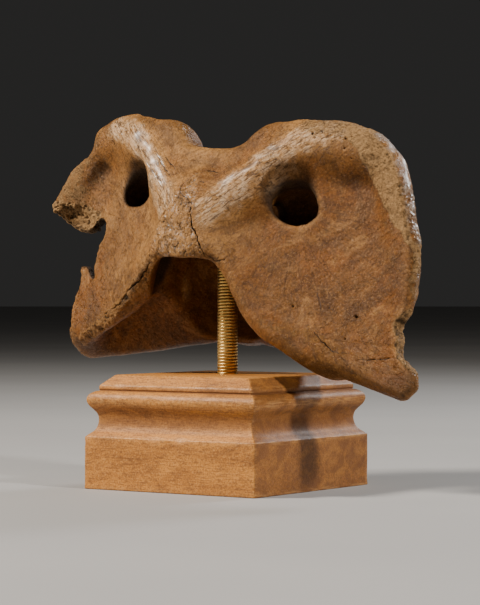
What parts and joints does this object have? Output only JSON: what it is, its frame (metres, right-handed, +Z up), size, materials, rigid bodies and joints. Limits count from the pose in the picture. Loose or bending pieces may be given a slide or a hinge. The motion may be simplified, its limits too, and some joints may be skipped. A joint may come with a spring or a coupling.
{
  "type": "fossil bison atlas vertebra on a stand",
  "caption": "Steppe bison atlas vertebra with broken wings, held upright by a brass threaded rod in a moulded square wooden block.",
  "frame": {"origin": "centre of the wooden block's underside, where the stand meets the table", "axes": "+Z up along the rod, the bone's dorsal face towards -Y, and its wings spread along X"},
  "size_m": [0.2232, 0.1075, 0.1843],
  "materials": {
    "bone": "mineralised bone, satin with glossy rubbed ridges and dull spongy breaks",
    "brass": "plain turned brass, slightly tarnished",
    "wood": "oiled hardwood, satin"
  },
  "bodies": {
    "root": {"vertebra": "bone", "threaded_rod": "brass", "wooden_block": "wood"}
  },
  "joints": []
}
